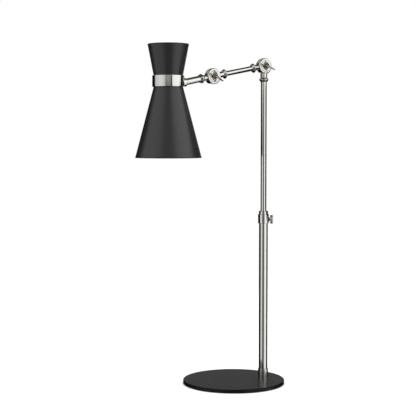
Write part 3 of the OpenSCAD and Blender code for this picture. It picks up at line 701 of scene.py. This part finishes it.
class LAMP_OT_pole(bpy.types.Operator):
    """Builds the pole's two tubes, the collar at its foot and the pieces inside it"""
    bl_idname = "lamp.pole"
    bl_label = "Pole"

    def execute(self, context):
        place, chamfer = upright(POLE), 0.6
        bore, foot = radius("lower_tube") + 0.05, radius("foot_collar")
        low, high = bottom("foot_collar"), top("foot_collar")
        settle(turned("pole_foot_collar", [
            (bore, low), (foot, low, 0.15), (foot, high - chamfer, 0.4),
            (foot - chamfer, high, 0.3), (bore, high, 0.1)], place, brushed_nickel()),
            "base", "nickel", "foot_collar")
        for name, node, body, wall in (("pole_lower_tube", "lower_tube", "base", 1.25),
                                       ("pole_upper_tube", "upper_tube", "mast", 1.0)):
            tube(name, node, body, wall, bottom(node), top(node), place, lit_pole_nickel())
        keep(["guide_ring", "guide_bush", "clamp_shoe"], nylon())
        keep(["end_plug", "retaining_ring"], zinc())
        return {"FINISHED"}


class LAMP_OT_clamp(bpy.types.Operator):
    """Builds the clamp's cap and fluted knob, and finishes its collar and screw"""
    bl_idname = "lamp.clamp"
    bl_label = "Clamp"

    def execute(self, context):
        keep(["clamp_collar"], lit_pole_nickel(), length("metal_edge"))
        keep(["clamp_screw"], zinc())
        low, seat, high = bottom("clamp_cap"), top("clamp_collar"), top("clamp_cap")
        cap, bore = radius("clamp_cap"), radius("upper_tube") + 0.15
        thread, chamfer = cap - 1.6, 0.8
        settle(turned("clamp_screwed_cap", [
            (bore, low), (thread, low), (thread, seat, 0.05), (cap, seat, 0.3),
            (cap, high - chamfer, 0.5), (cap - chamfer, high, 0.4), (bore, high, 0.2)],
            upright(POLE), lit_pole_nickel()), "base", "nickel", "clamp_cap")
        self.knob()
        return {"FINISHED"}

    def knob(self):
        """A head with rounded flutes round it, on the screw's axis."""
        outer, start, thickness = 9.6, 14.05, 6.2
        crown, chamfer, dish = 5.6, 0.35, 0.2
        flutes, depth = sizes().flutes, length("flute_depth")
        steps, half = flutes * 12, thickness / 2
        rows = [-1, -0.94, -0.8, -0.6, -0.4, -0.2, 0, 0.2, 0.4, 0.6, 0.8, 0.94, 1]
        profile = [(outer - crown + math.sqrt(crown ** 2 - (share * half) ** 2)
                    - (chamfer if abs(share) == 1 else 0), start + half + share * half)
                   for share in rows]
        rings = round_rings([(0, start + dish), (outer * 0.6, start)], steps)
        cuts = [depth * max(0.0, math.cos(flutes * turn)) ** 1.5 for turn in turns(steps)]
        for level, height in profile:
            rings.append(shaped_ring([level - cut for cut in cuts], height))
        end = start + thickness
        rings += round_rings([(outer * 0.55, end), (0, end - 0.15)], steps)
        piece = ring_mesh("clamp_fluted_knob", rings, pointing(CLAMP, KNOB_DIRECTION),
                          [knob_nickel()], loop=False, smooth_angle=50)
        settle(weighted(piece), "clamp_knob", "nickel", "clamp_knob")


class LAMP_OT_ferrules(bpy.types.Operator):
    """Builds the turned ferrule at each end of a tube beside a joint"""
    bl_idname = "lamp.ferrules"
    bl_label = "Ferrules"

    def execute(self, context):
        crown, belt, half_belt = radius("mast_ferrule"), (FERRULE_NEAR + FERRULE_FAR) / 2, 0.6
        for name, place, body, inner, neck in (
                ("mast_ferrule", along(ELBOW, 0), "mast", "upper_tube", 7.3),
                ("arm_upper_ferrule", along(ELBOW, 90 - ARM_SLOPE), "arm", "arm_tube", 6.3),
                ("arm_lower_ferrule", along(TILT, -90 - ARM_SLOPE), "arm", "arm_tube", 6.3),
                ("head_ferrule", along(TILT, 90 - HEAD_SLOPE), "head", "head_tube", 6.3)):
            bore = radius(inner) + 0.05
            lip = max(neck, bore) + 0.3
            settle(turned("turned_" + name, [
                (bore, -FERRULE_FAR), (bore + 0.9, -FERRULE_FAR, 0.2),
                (crown, -belt - half_belt, 0.5), (crown, -belt + half_belt, 0.5),
                (lip, -FERRULE_NEAR, 0.2), (bore, -FERRULE_NEAR)], place, nickel()),
                body, "nickel", name)
        return {"FINISHED"}


class LAMP_OT_joints(bpy.types.Operator):
    """Finishes the joints' halves and builds the ring and the rear cap set into them"""
    bl_idname = "lamp.joints"
    bl_label = "Joints"

    def execute(self, context):
        keep(["mast_joint_half", "arm_rear_half", "arm_front_half", "head_joint_half"],
             cast_nickel(), length("casting_edge"))
        bore, outer, chamfer = 7.2, 12.0, 0.7
        seat, front, crown, rise = 6.31, 8.2, 9.5, 1.7
        spring = crown - rise
        for joint, place, front_body, rear_body in (
                ("elbow", ELBOW, "mast", "arm"), ("tilt", TILT, "arm", "head")):
            settle(turned(joint + "_ring", [
                (bore, seat, 0.05), (outer, seat, 0.05), (outer, front - chamfer, 0.2),
                (outer - chamfer, front, 0.5), (bore + 1, front, 0.5), (bore, front - 1, 0.2)],
                facing_front(place), nickel()), front_body, "nickel", joint + "_bezel")
            dome = [((outer - 0.6) * math.cos(math.radians(a)),
                     spring + rise * math.sin(math.radians(a)), 0) for a in range(0, 90, 9)]
            settle(turned(joint + "_domed_cap", [
                (0, seat), (outer, seat, 0.05), (outer, spring, 0.15), *dome, (0, crown, 0)],
                facing_rear(place), nickel(), 0.0), rear_body, "nickel", joint + "_rear_cap")
        keep(["elbow_spring_washer", "tilt_spring_washer", "elbow_bolt", "tilt_bolt"], brass())
        keep(["elbow_nut", "tilt_nut"], zinc())
        keep(["elbow_friction_disc", "tilt_friction_disc"], phenolic())
        return {"FINISHED"}


class LAMP_OT_keys(bpy.types.Operator):
    """Builds the wing key of each joint: a two-winged plate on a round stem"""
    bl_idname = "lamp.keys"
    bl_label = "Wing keys"

    def execute(self, context):
        self.key("elbow_wing_key", ELBOW, 33, "elbow_key")
        self.key("tilt_wing_key", TILT, 43, "tilt_key")
        return {"FINISHED"}

    def wings(self):
        """The outline of the plate: round tips, a dip between them and a narrow root."""
        tip, reach, root, low, high, dip = 2.9, 12.6, 4.2, 13.0, 25.0, 2.6
        half = [(reach + tip * math.cos(math.radians(a)), high - tip + tip * math.sin(
            math.radians(a))) for a in range(-52, 91, 11)]
        half += [(reach * share, high - dip * (1 - share ** 1.7))
                 for share in (0.9, 0.75, 0.6, 0.45, 0.3, 0.15)]
        right = [(root, low), (root + 3.2, low + 1.9)] + half
        left = [(-u, h) for u, h in reversed(right)]
        return right + [(0, high - dip)] + left

    def key(self, name, place, slope, node):
        """The plate, sloped so many degrees from upright as seen in the photograph, on its stem."""
        thickness, edge = length("key_thickness"), length("key_edge")
        rows = [(angle, side) for side, angles in ((-1, (0, 20, 45, 70, 90)),
                                                   (1, (90, 70, 45, 20, 0))) for angle in angles]
        rings = []
        for angle, side in rows:
            across = side * (thickness / 2 - edge * (1 - math.cos(math.radians(angle))))
            outline = inset(self.wings(), edge * (1 - math.sin(math.radians(angle))))
            rings.append([(u, across, h) for u, h in outline])
        face_centre = 19.5
        rings = [[(0, -thickness / 2, face_centre)]] + rings + [[(0, thickness / 2, face_centre)]]
        matrix = facing_front(place) @ Matrix.Rotation(math.radians(-slope), 4, "Z")
        wing = ring_mesh(name, rings, matrix, [cast_nickel()], loop=False)
        post, throat, foot, shoulder, end = 4.2, 2.6, 4.3, 13.6, 16.5
        outline = rounded([(0, foot), (post, foot, 0.3), (post, shoulder, 0.8),
                           (throat, end, 0.8), (0, end)], 0.3)
        stem = ring_mesh(name + "_stem", round_rings(outline, 48), matrix, [cast_nickel()])
        settle(joined(name, wing, stem), node, "nickel", node)


class LAMP_OT_arm(bpy.types.Operator):
    """Builds the arm's tube and the head's tube"""
    bl_idname = "lamp.arm"
    bl_label = "Arm and head tubes"

    def execute(self, context):
        span, head_end = (ELBOW - TILT).length / MM, 70.96
        tube("arm_round_tube", "arm_tube", "arm", 1.0, FERRULE_NEAR - span, -FERRULE_NEAR,
             along(ELBOW, 90 - ARM_SLOPE), nickel())
        tube("head_round_tube", "head_tube", "head", 1.2, -head_end, -FERRULE_NEAR,
             along(TILT, 90 - HEAD_SLOPE), nickel())
        keep(["band_boss"], cast_nickel(), length("metal_edge"))
        keep(["boss_nipple", "boss_washer", "boss_nut"], zinc())
        return {"FINISHED"}


class LAMP_OT_shade(bpy.types.Operator):
    """Builds the two spun shades with their rolled rims, and the band that holds them"""
    bl_idname = "lamp.shade"
    bl_label = "Shade"

    def execute(self, context):
        low, high, band_wall, gap = bottom("shade_band"), top("shade_band"), 2.6, 0.15
        tube("shade_nickel_band", "shade_band", "head", band_wall, low, high, upright(SHADE),
             nickel(), 0.5)
        neck, wall, hole = radius("shade_band") - band_wall - gap, 0.9, 20.0
        joint = top("lower_shade")
        self.spun("shade_lower_cone", "lower_shade", neck, wall, hole, joint, joint - wall,
                  low, bottom("lower_shade"), radius("lower_shade"))
        self.spun("shade_upper_cone", "upper_shade", neck, wall, hole, joint, joint + wall,
                  high, top("upper_shade"), radius("upper_shade"))
        keep(["flange_screws", "flange_nuts"], zinc(), 0.2)
        return {"FINISHED"}

    def spun(self, name, node, neck, wall, hole, joint, flange, bend, rim, mouth):
        """One shade: a flange from hole to neck, a neck to bend, a cone and a rolled rim. Its
        flange lies between the levels joint, where the two shades meet, and flange."""
        away = 1 if rim > bend else -1
        hem, outside_end, inside_end, painted_rim = length("rim_roll"), 2.2, 3.2, 2.6
        slope = (mouth - neck) / abs(rim - bend)
        roll, start, sweep, steps = [], -20, 290, 12
        for step in range(steps + 1):
            turn = math.radians(start + sweep * step / steps)
            roll.append((mouth - hem + hem * math.cos(turn),
                         rim - away * hem + away * hem * math.sin(turn), 0))
        inner_end = (roll[-1][0] - 0.05, roll[-1][1] - away * 0.25, 0)
        points = [(hole, flange, 0.1), (hole, joint, 0.1), (neck, joint, 0.1), (neck, bend, 1.5),
                  (mouth - slope * outside_end, rim - away * outside_end, 0.4), *roll, inner_end,
                  (mouth - slope * inside_end - wall * 1.03, rim - away * inside_end, 0.3),
                  (neck - wall, bend, 1.2), (neck - wall, flange, 0.6)]

        def zone(first, second):
            """1 on the enamel inside, 0 on the paint outside and round the rim."""
            across = (first[0] + second[0]) / 2
            level = (first[1] + second[1]) / 2
            if (rim - level) * away < painted_rim:
                return 0
            line = neck + slope * max(0.0, (level - bend) * away)
            return 1 if across < line - wall * 0.55 else 0

        piece = turned(name, points, upright(SHADE), None, 0.3, zone,
                       [black_paint(), inside_enamel()])
        settle(piece, "head", "black_paint", node)


class LAMP_OT_lampholder(bpy.types.Operator):
    """Builds the lampholder, its ring, and the bulb with its threaded cap"""
    bl_idname = "lamp.lampholder"
    bl_label = "Lampholder and bulb"

    def execute(self, context):
        place = upright(SHADE)
        steps = sizes().steps
        barrel, bore, collar, thread = 19.4, 17.0, 22.3, 0.7
        low, high = bottom("lampholder_body"), top("lampholder_body")
        cap_low, cap_high = bottom("lampholder_cap"), top("lampholder_cap")
        seat, thread_top = cap_low - 7.0, bottom("upper_shade") - 1.4
        body = round_rings([(bore, low + 0.3), (bore + 0.4, low), (barrel - thread, low)], steps)
        body += thread_rings(barrel, thread, length("barrel_pitch"), low + 0.5, thread_top, steps)
        body += round_rings([
            (barrel, seat), (collar - 0.3, seat), (collar, seat + 0.3), (collar, seat + 2.1),
            (collar - 0.4, seat + 2.5), (barrel + 0.2, seat + 2.5), (barrel, seat + 2.7),
            (barrel, high - 0.15), (barrel - 0.15, high), (bore, high)], steps)
        settle(weighted(ring_mesh("lampholder_threaded_body", body, place, [phenolic()])),
               "head", "phenolic", "lampholder_body")
        rise, flat, hole, wall = cap_high - cap_low, barrel * 0.6, 3.5, 2.4
        dome = [(flat + (barrel - flat) * math.cos(math.radians(a)),
                 cap_low + rise * (0.5 + 0.5 * math.sin(math.radians(a))), 0)
                for a in range(0, 91, 10)]
        settle(turned("lampholder_domed_cap", [
            (barrel - wall, cap_low, 0.1), (barrel, cap_low, 0.25), *dome,
            (hole, cap_high, 0.3), (hole, cap_high - wall, 0.2),
            (flat - wall, cap_high - wall, 1.0), (barrel - wall, cap_low + rise * 0.45, 2.0)],
            place, phenolic(), 0.2), "head", "phenolic", "lampholder_cap")
        self.ring(place, barrel)
        keep(["lampholder_core"], porcelain(), 0.3)
        keep(["lampholder_shell", "lampholder_contact"], brass())
        self.bulb(place)
        return {"FINISHED"}

    def ring(self, place, barrel):
        """The shade ring, with a ribbed grip round it."""
        low, high, ribs = bottom("shade_ring"), top("shade_ring"), sizes().ribs
        outer, bore, steps = radius("shade_ring"), barrel + 0.05, ribs * 6
        grooves = [0.35 * (0.5 - 0.5 * math.cos(ribs * turn)) for turn in turns(steps)]
        rings = [shaped_ring([outer - chamfer - groove for groove in grooves], height)
                 for chamfer, height in (
                     (0.325, low), (0, low + 0.4), (0, high - 0.3), (0.25, high))]
        rings += round_rings([(bore, high), (bore, low)], steps)
        settle(weighted(ring_mesh("lampholder_shade_ring", rings, place, [phenolic()])),
               "head", "phenolic", "shade_ring")

    def bulb(self, place):
        """A round bulb that hangs from its threaded cap."""
        low, high = bottom("bulb_cap"), top("bulb_cap")
        steps, thread, bore, contact, inside_end = sizes().steps, 13.0, 12.3, 4.2, high - 4.8
        cap = round_rings([(bore, low), (bore + 0.3, low)], steps)
        cap += thread_rings(thread, 0.75, length("cap_pitch"), low + 1.2, high - 3.6, steps, 10)
        cap += round_rings([
            (thread - 0.8, high - 3.0), (thread - 1.5, high - 2.6), (contact + 0.4, high - 0.3),
            (contact, high), (0, high), (0, inside_end), (bore, inside_end)], steps)
        settle(weighted(ring_mesh("bulb_threaded_cap", cap, place, [zinc()])),
               "head", "zinc_steel", "bulb_cap")
        ball, neck, taper, wall = 30.0, 12.2, 62, 1.0
        centre = bottom("bulb_glass") + ball
        shoulder = [(ball * math.cos(math.radians(a)), centre + ball * math.sin(math.radians(a)))
                    for a in range(-90, 31, 5)]
        leave, reach = shoulder[-1], centre + taper
        for step in range(1, 17):
            share = step / 16
            smooth = share * share * (3 - 2 * share)
            shoulder.append((leave[0] + (neck - leave[0]) * smooth,
                             leave[1] + (reach - leave[1]) * share))
        outside = shoulder + [(neck, top("bulb_glass"))]
        inside = [(max(r - wall, 0.0), z + (wall if r < 1 else 0)) for r, z in reversed(outside)]
        piece = ring_mesh("bulb_frosted_glass", round_rings(outside + inside, steps), place,
                          [frosted_glass()])
        settle(piece, "head", "frosted_glass", "bulb_glass")


class LAMP_OT_stage(bpy.types.Operator):
    """Sets the pale floor, the studio's light and the camera at the photograph's angle"""
    bl_idname = "lamp.stage"
    bl_label = "Floor, light and camera"

    def execute(self, context):
        studio = context.scene.lamp_studio
        self.camera(context, studio)
        self.floor()
        self.cards(studio)
        self.walls(context, studio)
        self.overhead(context, studio)
        context.scene.view_settings.view_transform = "Standard"
        return {"FINISHED"}

    def camera(self, context, studio):
        data = bpy.data.cameras.new("camera")
        data.lens = studio.lens
        data.sensor_width = 36
        data.clip_end = 50
        eye = bpy.data.objects.new("camera", data)
        eye.location = studio.camera_place
        eye.rotation_euler = (math.radians(90) - studio.camera_pitch, 0, -studio.camera_heading)
        context.scene.collection.objects.link(eye)
        context.scene.camera = eye

    def floor(self):
        """A pale floor that is clear from below, so that the underside can be seen."""
        material, tree, shader = new_material("pale studio floor")
        skin = use_group(tree, fine_skin(), Peel_scale=60, Patch_scale=3)
        tint(tree, shader, skin.outputs["Patch"], (0.9, 0.9, 0.9), (0.93, 0.93, 0.93))
        polish(tree, shader, skin.outputs["Height"], 0.85, 0.95)
        shader.inputs["Specular IOR Level"].default_value = 0.1
        facing = tree.nodes.new("ShaderNodeNewGeometry").outputs["Backfacing"]
        tree.links.new(math_node(tree, "SUBTRACT", 1.0, facing), shader.inputs["Alpha"])
        reach, level = 1500, -0.2
        piece = ring_mesh("studio_floor", round_rings([(0, level), (reach, level)], 96),
                          Matrix.Identity(4), [material], loop=False)
        if piece.data.polygons[0].normal.z < 0:
            piece.data.flip_normals()
        piece.visible_glossy = False

    def walls(self, context, studio):
        """Light from round about: a bright panel to the right, a paler one to the left, a dim
        strip on the camera's side, a high window and a narrow panel behind. The camera itself
        sees plain white."""
        world = bpy.data.worlds.new("studio")
        world.use_nodes = True
        context.scene.world = world
        tree = world.node_tree
        tree.nodes.clear()
        parts = tree.nodes.new("ShaderNodeSeparateXYZ")
        tree.links.new(tree.nodes.new("ShaderNodeTexCoord").outputs["Generated"], parts.inputs[0])
        x, y, z = parts.outputs
        toward_camera = math.radians(-90) - studio.camera_heading
        turn = math_node(
            tree, "WRAP", math_node(tree, "SUBTRACT", math_node(tree, "ARCTAN2", y, x),
                                    toward_camera), math.pi, -math.pi)
        rise = math_node(tree, "ARCSINE", z)
        total = 0.0
        for turns, rises in ((PANELS_ROUND, PANELS_UP), (WINDOW_ROUND, WINDOW_UP),
                             (REAR_ROUND, REAR_UP)):
            total = math_node(tree, "ADD", total, math_node(
                tree, "MULTIPLY", self.ramp(tree, turn, 180, turns),
                self.ramp(tree, rise, 90, rises)))
        light = add_node(tree, "ShaderNodeBackground", Color=(1, 1, 1, 1))
        tree.links.new(math_node(tree, "MULTIPLY", total, 4 * studio.walls),
                       light.inputs["Strength"])
        white = add_node(tree, "ShaderNodeBackground", Color=(1, 1, 1, 1), Strength=1.0)
        path = tree.nodes.new("ShaderNodeLightPath")
        blend = tree.nodes.new("ShaderNodeMixShader")
        tree.links.new(path.outputs["Is Camera Ray"], blend.inputs[0])
        tree.links.new(light.outputs[0], blend.inputs[1])
        tree.links.new(white.outputs[0], blend.inputs[2])
        output = tree.nodes.new("ShaderNodeOutputWorld")
        tree.links.new(blend.outputs[0], output.inputs[0])

    def ramp(self, tree, angle, limit, stops):
        """Half the light's strength at each angle, from stops of (degrees, strength)."""
        share = math_node(tree, "MULTIPLY_ADD", angle, 90 / (math.pi * limit), 0.5)
        node = tree.nodes.new("ShaderNodeValToRGB")
        tree.links.new(share, node.inputs[0])
        elements = node.color_ramp.elements
        elements[0].position, elements[-1].position = 0, 1
        for degrees, strength in stops[1:-1]:
            elements.new(degrees / limit / 2 + 0.5)
        for element, (degrees, strength) in zip(elements, stops):
            element.color = (strength / 2, strength / 2, strength / 2, 1)
        separate = tree.nodes.new("ShaderNodeSeparateColor")
        tree.links.new(node.outputs[0], separate.inputs[0])
        return separate.outputs[0]

    def cards(self, studio):
        """Upright cards that darken the reflections beside the light panels' own."""
        heading = math.radians(-90) - studio.camera_heading
        toward = Vector((math.cos(heading), math.sin(heading), 0))
        right = Vector((-toward.y, toward.x, 0))
        for name, piece, place, direction, width, levels, glow in CARDS:
            centre = piece + toward * place[0] + right * place[1]
            across = toward * direction[0] + right * direction[1]
            card = self.card(name, centre, across, width, levels, self.card_material(glow))
            card.visible_camera = False
            card.visible_diffuse = False
            card.visible_shadow = False

    def card_material(self, glow):
        """Dull card, black or with a faint even glow that reads as grey."""
        name = "grey card" if glow else "black card"
        if name in bpy.data.materials:
            return bpy.data.materials[name]
        material, tree, shader = new_material(name)
        skin = use_group(tree, fine_skin())
        polish(tree, shader, skin.outputs["Patch"], 0.9, 1.0)
        shader.inputs["Base Color"].default_value = (0.004, 0.004, 0.004, 1)
        shader.inputs["Specular IOR Level"].default_value = 0.0
        shader.inputs["Emission Color"].default_value = (1, 1, 1, 1)
        shader.inputs["Emission Strength"].default_value = glow
        return material

    def card(self, name, centre, across, width, levels, material):
        low, high = levels
        corners = [tuple((centre + across * width / 2 * side + Vector((0, 0, level))) / MM)
                   for side, level in ((-1, low), (1, low), (1, high), (-1, high))]
        middle_point = centre + Vector((0, 0, (low + high) / 2))
        return ring_mesh(name, [[tuple(middle_point / MM)], corners], Matrix.Identity(4),
                         [material], loop=False)

    def overhead(self, context, studio):
        width, height = 4.0, 3.0
        data = bpy.data.lights.new("overhead", "AREA")
        data.shape = "DISK"
        data.size = width
        data.energy = studio.overhead
        lamp = bpy.data.objects.new("overhead", data)
        lamp.location = (0, 0, height)
        lamp.visible_glossy = False
        context.scene.collection.objects.link(lamp)


STEPS = (LAMP_OT_base, LAMP_OT_pole, LAMP_OT_clamp, LAMP_OT_ferrules, LAMP_OT_joints,
         LAMP_OT_keys, LAMP_OT_arm, LAMP_OT_shade, LAMP_OT_lampholder, LAMP_OT_stage)
GROUPS = (("lamp_sizes", LampSizes), ("lamp_finishes", LampFinishes), ("lamp_studio", LampStudio))


class LAMP_PT_panel(bpy.types.Panel):
    """Lists the lamp's settings and the steps that build it"""
    bl_label = "Hourglass lamp"
    bl_idname = "LAMP_PT_panel"
    bl_space_type = "VIEW_3D"
    bl_region_type = "UI"
    bl_category = "Lamp"

    def draw(self, context):
        for name, group in GROUPS:
            settings = getattr(context.scene, name)
            box = self.layout.box()
            for label in group.__annotations__:
                box.prop(settings, label)
        for step in STEPS:
            self.layout.operator(step.bl_idname, text=step.bl_label)


def register():
    for name, group in GROUPS:
        bpy.utils.register_class(group)
        setattr(bpy.types.Scene, name, PointerProperty(type=group))
    for step in STEPS:
        bpy.utils.register_class(step)
    bpy.utils.register_class(LAMP_PT_panel)


def unregister():
    bpy.utils.unregister_class(LAMP_PT_panel)
    for step in reversed(STEPS):
        bpy.utils.unregister_class(step)
    for name, group in reversed(GROUPS):
        delattr(bpy.types.Scene, name)
        bpy.utils.unregister_class(group)


def main():
    register()
    for step in STEPS:
        area, action = step.bl_idname.split(".")
        getattr(getattr(bpy.ops, area), action)()


if __name__ == "__main__":
    main()
